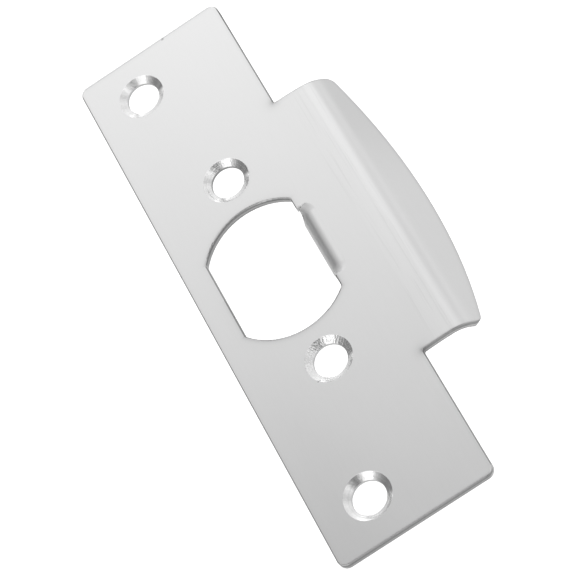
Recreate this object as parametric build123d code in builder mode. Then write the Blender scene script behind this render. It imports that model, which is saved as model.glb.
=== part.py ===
from build123d import *
from math import degrees, sqrt
import os

# Frame: the origin is midway between the two outer screw holes, on the face that seats on the door frame.
# +X runs across the plate towards the lip, +Y along the plate, +Z out of the face that is seen.
# Sizes are in millimetres.

# Plate: a flat blank with rounded corners
plate_length = 124.1
plate_width = 33.1
sheet = 1.5
plate_corner = 1.8
notch_corner = 0.4

# Screw holes: an inset is measured from the plate's plain edge
outer_screw_inset = 10.8
outer_screw_spacing = 104.7
inner_screw_inset = 17.2
inner_screw_spacing = 47.0
screw_hole_radius = 3.45
screw_head_radius = 4.85
screw_head_angle = 110

# Latch hole: two rounds, cut off by a flat towards each long edge
latch_round_radius = 14.0
latch_round_separation = 2.2
latch_centre_inset = 16.8
latch_plain_flat_inset = 5.4
latch_lip_flat_inset = 26.2
latch_corner = 0.7

# Lip: runs on past the plate, sweeps back gently, then bends and ends in a straight flange
lip_length = 65.7
lip_sweep_inset = 36.2
lip_sweep_radius = 42.0
lip_sweep_angle = 4.8
lip_bend_radius = 6.5
lip_bend_angle = 44.3
lip_flange = 7.2
lip_tip_radius = 100.6
lip_tip_corner = 1.9
lip_side_draw = 0.35

# Tab: a tongue turned back along the lip side of the latch hole. Beside it the bend narrows towards
# the edge of the hole, and ends in a small sheared step.
tab_length = 12.6
tab_bend_inset = 29.5
tab_bend_radius = 3.8
tab_land = 0.3
tab_reach = 6.0
tab_corner = 1.5
tab_flare = 2.0
runout_length = 2.5
runout_steps = 4
runout_share = 0.65

# Rounded upper edge that the blanking die leaves
die_roll = 0.3

# Places worked out from the above
plain_edge_x = -outer_screw_inset
lip_edge_x = plain_edge_x + plate_width
lip_sweep_x = lip_sweep_inset - outer_screw_inset
inner_screw_x = inner_screw_inset - outer_screw_inset
latch_centre_x = latch_centre_inset - outer_screw_inset
latch_plain_flat_x = latch_plain_flat_inset - outer_screw_inset
latch_lip_flat_x = latch_lip_flat_inset - outer_screw_inset
tab_bend_x = tab_bend_inset - outer_screw_inset
tab_land_x = tab_bend_x + tab_land
tab_root = tab_bend_x - latch_lip_flat_x
half_lip = lip_length / 2
half_tab = tab_length / 2
near = 0.01

with BuildPart() as strike_plate:
    # Side view: one sheet that is flat as far as the lip, then follows its bends
    with BuildSketch(Plane.XZ):
        with BuildLine():
            flat = Line((plain_edge_x, sheet), (lip_sweep_x, sheet))
            sweep = JernArc(flat @ 1, flat % 1, lip_sweep_radius, -lip_sweep_angle)
            bend = JernArc(sweep @ 1, sweep % 1, lip_bend_radius, -lip_bend_angle)
            flange = PolarLine(bend @ 1, lip_flange, direction=bend % 1)
            offset(amount=sheet, side=Side.RIGHT)
        make_face()
    extrude(amount=plate_length / 2, both=True)
    tip = flange @ 1
    slope = flange % 1

    # Outline of the blank: the plate, and the lip between its two square notches
    with BuildSketch() as blank:
        with Locations((plain_edge_x, 0)):
            Rectangle(plate_width, plate_length, align=(Align.MIN, Align.CENTER))
        with BuildLine():
            Polyline((latch_centre_x, half_lip), (lip_edge_x, half_lip), (tip.X, half_lip - lip_side_draw), (tip.X, 0))
            mirror(about=Plane.XZ)
            Line((latch_centre_x, half_lip), (latch_centre_x, -half_lip))
        make_face()
        rows = blank.vertices().group_by(Axis.Y)
        fillet(rows[0] + rows[-1], plate_corner)
        lip_edge = blank.vertices().filter_by_position(Axis.X, lip_edge_x - near, lip_edge_x + near)
        fillet(lip_edge.sort_by(Axis.Y)[1:3], notch_corner)
    extrude(amount=plate_width, both=True, mode=Mode.INTERSECT)

    # The lip ends in a wide arc, cut square to its flange, with rounded corners
    flange_face = Plane(origin=(tip.X, 0, tip.Y), x_dir=(slope.X, 0, slope.Y), z_dir=(-slope.Y, 0, slope.X))
    with BuildSketch(flange_face):
        Rectangle(2 * lip_flange, lip_length + sheet)
        with Locations((-lip_tip_radius, 0)):
            Circle(lip_tip_radius, mode=Mode.SUBTRACT)
    extrude(amount=2 * sheet, both=True, mode=Mode.SUBTRACT)
    flange_edges = strike_plate.edges().filter_by_position(Axis.X, (bend @ 1).X, tip.X)
    fillet(flange_edges.group_by(SortBy.LENGTH)[0], lip_tip_corner)

    # Latch hole
    with BuildSketch() as latch_hole:
        with Locations((latch_centre_x, 0)):
            SlotCenterToCenter(latch_round_separation, 2 * latch_round_radius, rotation=90)
        with Locations((latch_plain_flat_x, 0)):
            Rectangle(
                latch_lip_flat_x - latch_plain_flat_x,
                plate_length,
                align=(Align.MIN, Align.CENTER),
                mode=Mode.INTERSECT,
            )
        fillet(latch_hole.vertices(), latch_corner)
    extrude(amount=sheet, mode=Mode.SUBTRACT)

    # Countersunk screw holes: an outer pair near the plain edge, an inner pair beside the latch hole
    with Locations((0, 0, sheet)):
        with GridLocations(1, outer_screw_spacing, 1, 2):
            CounterSinkHole(screw_hole_radius, screw_head_radius, counter_sink_angle=screw_head_angle)
    with Locations((inner_screw_x, 0, sheet)):
        with GridLocations(1, inner_screw_spacing, 1, 2):
            CounterSinkHole(screw_hole_radius, screw_head_radius, counter_sink_angle=screw_head_angle)

    # Blanked edges are rounded on the upper side, all round the plate, the lip and the latch hole
    upper_faces = strike_plate.faces().filter_by(lambda face: face.normal_at().Z > 0.5)
    upper_edges = [edge for face in upper_faces for edge in face.edges()]
    fillet([edge for edge in upper_edges if upper_edges.count(edge) == 1 and not edge.is_closed], die_roll)

    # Tab: the edge of the hole is cleared back past the bend line, then the tongue hangs from there
    with BuildSketch():
        with Locations((tab_land_x, 0)):
            Rectangle(tab_land_x - latch_centre_x, tab_length + 2 * runout_length, align=(Align.MAX, Align.CENTER))
    extrude(amount=sheet, mode=Mode.SUBTRACT)
    with BuildSketch(Plane.XZ):
        with BuildLine():
            land = Line((tab_land_x, sheet), (tab_bend_x, sheet))
            turn = JernArc(land @ 1, land % 1, tab_bend_radius, 90)
            Line(turn @ 1, ((turn @ 1).X, -tab_reach))
            offset(amount=sheet, side=Side.LEFT)
        make_face()
    extrude(amount=half_tab, both=True)
    fillet(strike_plate.edges().filter_by(Axis.X).group_by(Axis.Z)[0], tab_corner)

    # Run-outs: the bend narrows as a quarter of an ellipse, and the tongue flares out into the edge
    for end in (1, -1):
        for step in range(runout_steps + 1):
            station = step / runout_steps
            share = sqrt(1 - (1 - runout_share**2) * station**2)
            root = share * tab_root
            radius = share * tab_bend_radius
            flare = tab_flare * (1 - sqrt(1 - (1 - station) ** 2))
            with BuildSketch(Plane.XZ.offset(-end * (half_tab + station * runout_length))):
                with BuildLine():
                    land = Line((tab_land_x, sheet), (latch_lip_flat_x + root, sheet))
                    JernArc(land @ 1, land % 1, radius, degrees((root + flare) / radius))
                    offset(amount=sheet, side=Side.LEFT)
                make_face()
        loft()

strike_plate.part.label = "strike_plate"
os.makedirs("parts", exist_ok=True)
export_step(strike_plate.part, "parts/strike_plate.step")
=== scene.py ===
import bpy
import math
from mathutils import Euler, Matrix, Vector

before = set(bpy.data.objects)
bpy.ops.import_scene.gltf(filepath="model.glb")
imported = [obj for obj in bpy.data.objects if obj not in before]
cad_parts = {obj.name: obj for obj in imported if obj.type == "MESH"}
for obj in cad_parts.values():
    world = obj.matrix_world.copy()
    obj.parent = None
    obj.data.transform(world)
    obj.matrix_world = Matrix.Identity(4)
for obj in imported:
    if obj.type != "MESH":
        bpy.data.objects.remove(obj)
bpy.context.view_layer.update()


# The camera stands in front of the plate's near end, to the lip side, and looks down at it with a
# long lens, so the plate runs slantwise across the picture.
lens_data = bpy.data.cameras.new("camera")
lens_data.lens = 168.55
lens_data.sensor_width = 36.0
lens_data.clip_start = 0.01
lens_data.clip_end = 50.0
camera = bpy.data.objects.new("camera", lens_data)
camera.location = (0.052847, -0.281112, 0.433998)
camera.rotation_euler = Euler([math.radians(angle) for angle in (25.8978, 20.9973, -26.8560)], "XYZ")
bpy.context.scene.collection.objects.link(camera)
bpy.context.scene.camera = camera
bpy.context.scene.view_settings.view_transform = "Standard"


# The room is a studio with a pale painted floor well below the plate. Bare metal shows the room that it is
# in, so this one has soft lights low down at both ends, a lit panel, a darker plain side and a dim ceiling.
class Shade:
    """A socket in a node tree. Sums and products of shades, or of shades and numbers, add Math nodes."""

    def __init__(self, tree, socket=None):
        self.tree = tree
        self.socket = socket

    def node(self, kind, settings=None, inputs=None, output=0):
        """Adds a node, sets it, gives its sockets their values or links, and returns one of its outputs.

        The setting "stops" gives a ramp its positions and grey levels.
        """
        made = self.tree.nodes.new(kind)
        for name, value in (settings or {}).items():
            if name == "stops":
                while len(made.color_ramp.elements) < len(value):
                    made.color_ramp.elements.new(1.0)
                for stop, (position, grey) in zip(made.color_ramp.elements, value):
                    stop.position = position
                    stop.color = (grey, grey, grey, 1.0)
            else:
                setattr(made, name, value)
        for name, value in (inputs or {}).items():
            if isinstance(value, Shade):
                self.tree.links.new(value.socket, made.inputs[name])
            else:
                made.inputs[name].default_value = value
        return Shade(self.tree, made.outputs[output])

    def twin(self, output):
        """Another output of the node that this shade comes from."""
        return Shade(self.tree, self.socket.node.outputs[output])

    def rise(self, low, high):
        """0 below low, 1 above high and smooth between; it falls instead where low is the greater."""
        settings = {"interpolation_type": "SMOOTHSTEP"}
        return self.node("ShaderNodeMapRange", settings, {"Value": self, "From Min": low, "From Max": high})

    def math(self, operation, *values):
        """A Math node that takes these shades or numbers in their order."""
        return self.node("ShaderNodeMath", {"operation": operation}, dict(enumerate(values)))

    def __add__(self, other):
        return self.math("ADD", self, other)

    __radd__ = __add__

    def __sub__(self, other):
        return self.math("SUBTRACT", self, other)

    def __rsub__(self, other):
        return self.math("SUBTRACT", other, self)

    def __mul__(self, other):
        return self.math("MULTIPLY", self, other)

    __rmul__ = __mul__

    def __truediv__(self, other):
        return self.math("DIVIDE", self, other)

    def to(self, node, name):
        """Links this shade to a socket of a node."""
        self.tree.links.new(self.socket, node.inputs[name])


def bearing(azimuth, elevation):
    """A direction from its azimuth, which is 0 along +Y and 90 along +X, and its elevation, in degrees."""
    turn, rise = math.radians(azimuth), math.radians(elevation)
    return Vector((math.sin(turn) * math.cos(rise), math.cos(turn) * math.cos(rise), math.sin(rise)))


# Azimuth 0 is past the plate's far end, 90 past its lip, 180 past its near end and -90 past its plain side.
# A patch is soft all over: the greater its tightness, the smaller it is. A strength below 0 darkens.
room_level = 0.71
room_patches = (
    # azimuth, elevation, tightness, strength
    # Between the plain side and the far end: dark, with one light in it
    (-60, -25, 30, -0.67),
    (-56, 24, 11, -0.77),
    (-53, 24, 60, 0.62),
    (-44, 3, 90, -0.32),
    # Past the far end: soft light, brightest low down
    (-36, -2, 90, 1.68),
    (-35, 45, 30, 0.47),
    (-4, 33, 11, 0.89),
    (9, -1, 11, 0.44),
    (10, 12, 30, 1.35),
    # Past the lip: nearly even
    (26, 5, 90, -0.36),
    (41, -14, 11, 0.22),
    (47, 36, 45, -0.49),
    (49, 42, 11, 0.56),
    (93, 40, 90, -0.14),
    (134, 51, 90, 0.23),
    # Past the near end: the dark stand of the camera, between two bright lights
    (146, 1, 11, 1.52),
    (151, 53, 90, -0.44),
    (154, 69, 11, 0.67),
    (166, 22, 11, -1.35),
    (-175, 53, 90, -0.6),
    (-161, 9, 11, 1.74),
    # Past the plain side: bands of light and dark, and the dim ceiling
    (-116, 41, 90, 0.58),
    (-93, 32, 90, -0.12),
    (-83, 27, 90, -0.22),
    (-70, 45, 30, 0.65),
    (-69, 78, 11, -0.83),
)
# The panels are even, with an edge: a lit one, and the dark one of the camera's lens
room_panels = (
    # azimuth, elevation, radius in degrees, strength
    (-129, 45, 15, 0.5),
    (170, 53, 6, -0.25),
)
panel_edge = 3.0
least_level = 0.05
world = bpy.data.worlds.new("room")
bpy.context.scene.world = world
world.use_nodes = True
world.node_tree.nodes.clear()
room = Shade(world.node_tree)
toward = room.node("ShaderNodeTexCoord", output="Generated")


def cosine_from(azimuth, elevation):
    """The cosine of the angle between a bearing and the way that the room is seen."""
    inputs = {0: toward, 1: bearing(azimuth, elevation)}
    return room.node("ShaderNodeVectorMath", {"operation": "DOT_PRODUCT"}, inputs, "Value")


level = room_level
for azimuth, elevation, tightness, strength in room_patches:
    patch = room.math("EXPONENT", (cosine_from(azimuth, elevation) - 1.0) * tightness) * strength
    level = patch + level
for azimuth, elevation, radius, strength in room_panels:
    outside, inside = (math.cos(math.radians(radius + edge)) for edge in (panel_edge, -panel_edge))
    level = level + cosine_from(azimuth, elevation).rise(outside, inside) * strength
level = room.math("MAXIMUM", level, least_level)
# The camera itself sees plain white
ray = room.node("ShaderNodeLightPath", output="Is Camera Ray")
shown = level + (1.0 - level) * ray
sky = room.node("ShaderNodeBackground", inputs={"Color": shown, "Strength": 1.0})
sky.to(world.node_tree.nodes.new("ShaderNodeOutputWorld"), "Surface")

floor_height = -0.22
floor_half = 0.5
floor_mesh = bpy.data.meshes.new("floor")
corner_signs = ((-1, -1), (1, -1), (1, 1), (-1, 1))
floor_corners = [(floor_half * x, floor_half * y, floor_height) for x, y in corner_signs]
floor_mesh.from_pydata(floor_corners, [], [(0, 1, 2, 3)])
floor = bpy.data.objects.new("floor", floor_mesh)
bpy.context.scene.collection.objects.link(floor)
# Its paint glows, so that the camera sees it nearly white while little of that shows in the steel
paint_colour = (0.7, 0.7, 0.7, 1.0)
glow_seen = 0.6
glow_mirrored = 0.08
paint = bpy.data.materials.new("floor_paint")
paint.use_nodes = True
paint.node_tree.nodes.clear()
coat = Shade(paint.node_tree)
matt = coat.node("ShaderNodeBsdfDiffuse", inputs={"Color": paint_colour})
seen = coat.node("ShaderNodeLightPath", output="Is Camera Ray")
mirrored = coat.math("MAXIMUM", seen.twin("Is Glossy Ray"), seen.twin("Is Transmission Ray"))
glow_strength = coat.math("MAXIMUM", seen * glow_seen, mirrored * glow_mirrored)
glow = coat.node("ShaderNodeEmission", inputs={"Strength": glow_strength})
both = coat.node("ShaderNodeAddShader", inputs={0: matt, 1: glow})
both.to(paint.node_tree.nodes.new("ShaderNodeOutputMaterial"), "Surface")
floor_mesh.materials.append(paint)


# The strike plate: one blank of stainless sheet, punched, countersunk and bent in a press. Its faces keep
# the satin grain of the rolling mill, its countersinks the rings of the cutter, and its blanked edges
# are rolled over at the top, burnished below that and torn at the back.
steel = bpy.data.materials.new("satin_stainless")
steel.use_nodes = True
steel.node_tree.nodes.clear()
metal = Shade(steel.node_tree)

# Places are in millimetres: across towards the lip from the line of the outer screw holes, along towards the
# far end from the middle of the plate, and up from the back of the sheet
object_place = metal.node("ShaderNodeTexCoord", output="Object")
facing = object_place.twin("Normal")
millimetres = metal.node("ShaderNodeVectorMath", {"operation": "SCALE"}, {0: object_place, "Scale": 1000.0})
across = metal.node("ShaderNodeSeparateXYZ", inputs={0: millimetres})
along = across.twin("Y")
up = across.twin("Z")
off_middle = metal.math("ABSOLUTE", along)
is_near = metal.math("LESS_THAN", along, 0.0)
facing_across = metal.node("ShaderNodeSeparateXYZ", inputs={0: facing})
facing_along = facing_across.twin("Y")


def grain(scale_x, scale_y, scale_z, detail=2.0):
    """Noise drawn out differently along each axis; the scales are cells per millimetre."""
    scales = (scale_x, scale_y, scale_z)
    cells = metal.node("ShaderNodeVectorMath", {"operation": "MULTIPLY"}, {0: millimetres, 1: scales})
    return metal.node("ShaderNodeTexNoise", inputs={"Vector": cells, "Scale": 1.0, "Detail": detail})


# Rolled face: fine lines along the plate and faint clouds from handling. The plain side has painted shade,
# a little darker, most of all at its near end.
face_tone, face_rough, face_depth = 0.737, 0.30, 0.5
rolled = grain(5.0, 0.25, 5.0, 3.0)
clouds = grain(0.06, 0.03, 0.06)
painted_shade_side = across.rise(20.0, -12.0) * 0.03
painted_shade_end = across.rise(14.0, -10.0) * along.rise(-5.0, -62.0) * 0.06
tone = face_tone * (1.0 + (rolled - 0.5) * 0.03 + (clouds - 0.5) * 0.03 - painted_shade_side - painted_shade_end)
rough = face_rough + (rolled - 0.5) * 0.05 + (clouds - 0.5) * 0.04
relief = rolled * face_depth


def least(first, *others):
    """The least of several shades or numbers."""
    for other in others:
        first = metal.math("MINIMUM", first, other)
    return first


def greatest(first, *others):
    """The greatest of several shades or numbers."""
    for other in others:
        first = metal.math("MAXIMUM", first, other)
    return first


def hypotenuse(one, other):
    """The length of a step that goes so far one way and so far the other way."""
    return metal.math("SQRT", one * one + other * other)


def fade(distance, reach):
    """1 at no distance, falling off smoothly over the reach."""
    return metal.math("EXPONENT", distance / -reach)


# The tab is bent out of the latch hole, not cut, so nothing here is a cut edge
tab_start, tab_end, half_tab = 13.0, 19.1, 8.85
on_tab = (
    metal.math("GREATER_THAN", across, tab_start)
    * metal.math("LESS_THAN", across, tab_end)
    * metal.math("LESS_THAN", off_middle, half_tab)
)
off_tab = 1.0 - on_tab

# Distances from the latch hole, which is two rounds cut off by two flats
latch_middle, latch_radius, latch_half_separation = 6.0, 14.0, 1.1
latch_plain_flat, latch_lip_flat = -5.4, 15.4
from_round_middle = greatest(off_middle - latch_half_separation, 0.0)
from_round = hypotenuse(across - latch_middle, from_round_middle) - latch_radius
from_hole = greatest(from_round, latch_plain_flat - across, across - latch_lip_flat)

# Distances from the outline. The flange slants down, so each millimetre across is more along its surface.
half_length, half_lip = 62.05, 32.85
plain_edge, lip_edge, lip_tip = -10.8, 22.3, 38.0
lip_tip_radius = 100.6
flange_slant = 1.53
tip_closeness = 0.8
from_side = greatest(lip_edge - across, half_lip - off_middle)
from_tip = (lip_tip - across) * flange_slant - off_middle * off_middle / (2.0 * lip_tip_radius)
from_tip = from_tip * tip_closeness
from_rim = least(half_length - off_middle, across - plain_edge, from_side)
from_cut = greatest(least(from_rim, from_tip, from_hole), 0.0)

# Distances from the cuts that face the far end: the plate's own, the lip's, and the near side of the hole
past_lip_edge = across.rise(22.0, 22.6)
out_of_reach = 9.0
from_far_side = half_length - along - past_lip_edge * (half_length - half_lip)
from_near_side_of_hole = from_hole + (1.0 - is_near) * out_of_reach
from_far_cut = greatest(least(from_far_side, from_near_side_of_hole, from_tip), 0.0)

# Painted shade beside each cut, where the dies drew the sheet down, darkest at the cuts that face the far
# end, and the painted shade of a bruise in each corner of the lip. By the latch hole's plain flat this
# painted shade is weaker, and on the rolls that face the near end painted light keeps the edge brighter.
shaded_corner_across, shaded_corner_along = 22.2, 33.0
from_shaded_corner = hypotenuse(across - shaded_corner_across, off_middle - shaded_corner_along)
by_plain_flat = across.rise(-4.9, -5.3) * across.rise(-7.0, -6.2) * metal.math("LESS_THAN", off_middle, 9.2)
near_roll_painted_light = facing_along.rise(-0.03, -0.15) * facing_along.rise(-0.75, -0.35)
painted_edge_shade = fade(from_cut, 0.22) * 0.26 + fade(from_far_cut, 0.25) * 0.34
painted_edge_shade = painted_edge_shade + fade(greatest(from_hole, 0.0), 0.6) * (0.08 + is_near * 0.05)
painted_edge_shade = painted_edge_shade * (1.0 - by_plain_flat * 0.5) * (1.0 - near_roll_painted_light * 0.8)
tone = tone * (1.0 - painted_edge_shade * off_tab - fade(from_shaded_corner, 0.7) * 0.4)

# The lip was wiped over the edge of the die, which left faint drag marks along its bend. The crown of the
# bend has painted shade, and the flange has painted light at its near part and painted shade at its far
# part.
drag_marks = grain(3.0, 0.06, 0.0, 1.0).rise(0.5, 0.75)
on_bend = across.rise(24.6, 25.6) * across.rise(31.5, 29.5)
on_crown = across.rise(28.2, 29.4) * across.rise(32.4, 31.2)
on_flange = across.rise(31.6, 33.0)
painted_shade_crown = on_crown * (0.03 + along.rise(20.0, -25.0) * 0.05)
painted_light_and_shade_flange = on_flange * (0.025 - along.rise(0.0, 28.0) * 0.11)
tone = tone * (1.0 - on_bend * drag_marks * 0.05 - painted_shade_crown + painted_light_and_shade_flange)
rough = rough + on_bend * (0.04 + drag_marks * 0.06)

# Countersinks: an outer pair and an inner pair, cut with a cutter that chattered, most of all in the near
# inner one
outer_hole_along = 52.35
inner_hole_across, inner_hole_along = 6.4, 23.5
countersink_radius = 4.86
countersink_bottom = 0.05
is_inner = metal.math("LESS_THAN", off_middle, (outer_hole_along + inner_hole_along) / 2)
is_far = 1.0 - is_near
from_hole_across = across - is_inner * inner_hole_across
hole_along = outer_hole_along - is_inner * (outer_hole_along - inner_hole_along)
from_hole_along = along + (is_near * 2.0 - 1.0) * hole_along
radius = hypotenuse(from_hole_across, from_hole_along)
inside_rim = metal.math("LESS_THAN", radius, countersink_radius)
sunk = inside_rim * metal.math("GREATER_THAN", up, countersink_bottom)

# Each hole has its own rings and its own chatter
rings_per_millimetre = 5.0
which_hole = is_inner * 3.0 + is_near * 7.3
rings = metal.node("ShaderNodeTexNoise", {"noise_dimensions": "2D"}, {
    "Vector": metal.node("ShaderNodeCombineXYZ", inputs={0: radius * rings_per_millimetre, 1: which_hole}),
    "Scale": 1.0,
    "Detail": 2.0,
})
spoke = metal.node("ShaderNodeCombineXYZ", inputs={
    0: from_hole_across / radius,
    1: from_hole_along / radius,
    2: radius * 0.18 + which_hole,
})
chatter = metal.node("ShaderNodeTexNoise", inputs={"Vector": spoke, "Scale": 11.0, "Detail": 1.0})
chatter = chatter.rise(0.35, 0.65)
chatter_depth = (5.0 + is_inner * 5.0 + is_inner * is_near * 18.0) * from_hole_along.rise(-2.5, 1.5)
ring_depth = 9.0 + is_near * 6.0
# The countersinks are given a lighter tone than the face of the same steel: painted light
painted_light_cut_tone, cut_rough = 0.80, 0.14
tone = tone + sunk * (painted_light_cut_tone + (rings - 0.5) * 0.12 + (chatter - 0.5) * 0.04 - tone)
rough = rough + sunk * (cut_rough + (rings - 0.5) * 0.08 - rough)
relief = relief + sunk * (rings * ring_depth + chatter * chatter_depth - relief)

# The far pair has a painted highlight on one side, and the bores below the countersinks are rougher and have
# painted shade, most of all in the far inner one
highlight_across, highlight_along = -0.64, -0.77
toward_highlight = from_hole_across * highlight_across + from_hole_along * highlight_along
painted_highlight = (toward_highlight / radius).rise(0.93, 0.98)
tone = tone + painted_highlight * sunk * is_far * 0.18
bore = radius.rise(3.54, 3.47)
tone = tone * (1.0 - bore * (0.12 + is_inner * is_far * 0.4))
rough = rough + bore * 0.2

# Blanked edges: a shoulder where the sheet rolls over, painted dark as shade, a burnished band, then the
# tear.
# The edge at the lip's tip faces down the slope of its flange, so it is told from the bend by that and not
# by facing across.
lip_root = 24.0
down_the_slope = (0.6547, 0.0, -0.7559)
on_lip = metal.math("GREATER_THAN", across, lip_root)
facing_down = metal.node(
    "ShaderNodeVectorMath",
    {"operation": "DOT_PRODUCT"},
    {0: facing, 1: down_the_slope},
    "Value",
)
turned_across = metal.math("ABSOLUTE", facing_across) * (1.0 - on_lip)
turned_out = facing_down * on_lip * metal.math("GREATER_THAN", facing_across, 0.3)
turned = greatest(metal.math("ABSOLUTE", facing_along), turned_across, turned_out)
edged = off_tab * (1.0 - sunk)
wall = turned.rise(0.9, 0.98) * edged

# How far through the sheet, from 0 at its upper face to 1 at its back. From the lip's root to its tip, the
# stops give the height of the upper face as a share of the way from the lowest height to the highest.
lip_profile = (
    (0.0, 0.944),
    (0.1, 0.944),
    (0.3, 0.934),
    (0.4, 0.918),
    (0.5, 0.869),
    (0.6, 0.775),
    (0.66, 0.687),
    (1.0, 0.076),
)
lowest, highest = -7.0, 2.0
sheet = 1.5
extra_when_slanted = 0.8
lip_share = (across - lip_root) / (lip_tip - lip_root)
profile = metal.node("ShaderNodeValToRGB", {"stops": lip_profile}, {"Fac": lip_share})
upper_face = profile * (highest - lowest) + lowest
through = (upper_face - up) / (sheet + across.rise(28.5, 33.5) * extra_when_slanted)

# The shoulder's painted shade ends at a ragged line, a little higher in the latch hole, and the tear begins
# at another. The sides that face the far end have painted shade all the way down; it is weaker on the near
# rolls.
tear_depth = 8.0
tearing = grain(3.0, 3.0, 0.4, 3.0)
torn = (through + (tearing - 0.5) * 0.25).rise(0.62, 0.8)
in_hole = metal.math("LESS_THAN", off_middle, 16.0) * (1.0 - on_lip)
above_band = (through + in_hole * 0.12 + (tearing - 0.5) * 0.15).rise(0.62, 0.44)
shoulder_painted_shade = turned.rise(0.1, 0.7) * above_band * edged * (1.0 - near_roll_painted_light * 0.7)
painted_shade_far_side = facing_along.rise(0.0, 0.3) * turned.rise(0.05, 0.4) * edged
tone = tone * (1.0 - greatest(shoulder_painted_shade * 0.5, painted_shade_far_side * 0.7) + wall * 0.08)
tone = tone * (1.0 - wall * torn * (0.28 + (tearing - 0.5) * 0.4))
rough = rough + wall * (0.05 + torn * (0.15 + (tearing - 0.5) * 0.2))
relief = relief + wall * torn * tearing * tear_depth

# The metal is stretched, and so rougher, where the tab's bend runs out, and at the near end it has painted
# shade
stretched_and_shaded = on_tab * off_middle.rise(6.2, 7.4) * up.rise(1.4999, 1.496)
rough = rough + stretched_and_shaded * 0.15
tone = tone * (1.0 - stretched_and_shaded * is_near * 0.06)

# A chip under the cutter scored a thin broken line round the far inner countersink, a little off its middle
flecks = grain(2.5, 2.5, 2.5, 3.0)
scored_across, scored_along, scored_radius = 0.28, -0.24, 4.5
from_scored_middle = hypotenuse(from_hole_across - scored_across, from_hole_along - scored_along)
scored = fade(metal.math("ABSOLUTE", from_scored_middle - scored_radius), 0.12)
scored = scored * from_hole_along.rise(1.2, 0.2) * flecks.rise(0.4, 0.55) * is_inner * is_far
tone = tone * (1.0 - scored * 0.4)

# Small knocks from the bin of loose parts, and at the ends of the tab small dents with painted shade and one
# painted highlight. A darkening below 0 lightens.
knock_depth = 12.0
knocks_and_painted_light = (
    # across, along, size, darkening
    (2.68, -26.46, 0.3, 0.4),
    (9.58, 61.6, 0.25, 0.4),
    (2.05, 13.9, 0.2, 0.4),
    # At the ends of the tab: painted shade, and a painted highlight at 15.9, 7.9
    (16.1, 8.6, 0.3, 0.4),
    (15.9, 7.9, 0.25, -0.3),
    (15.7, 7.3, 0.3, 0.4),
    (15.6, -8.7, 0.35, 0.4),
)
for knock_across, knock_along, size, darkening in knocks_and_painted_light:
    off = hypotenuse(across - knock_across, along - knock_along) + (flecks - 0.5) * size * 5.0
    marked_spot = off.rise(size, size * 0.3)
    tone = tone * (1.0 - marked_spot * darkening)
    relief = relief - marked_spot * knock_depth

# The relief is in micrometres
micrometre = 1.0e-6
surface = steel.node_tree.nodes.new("ShaderNodeBsdfPrincipled")
surface.inputs["Metallic"].default_value = 1.0
tone.to(surface, "Base Color")
rough.to(surface, "Roughness")
metal.node("ShaderNodeBump", inputs={"Height": relief, "Distance": micrometre}).to(surface, "Normal")
finish = steel.node_tree.nodes.new("ShaderNodeOutputMaterial")
steel.node_tree.links.new(surface.outputs[0], finish.inputs["Surface"])
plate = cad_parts["strike_plate"]
for slot in plate.material_slots:
    slot.material = steel
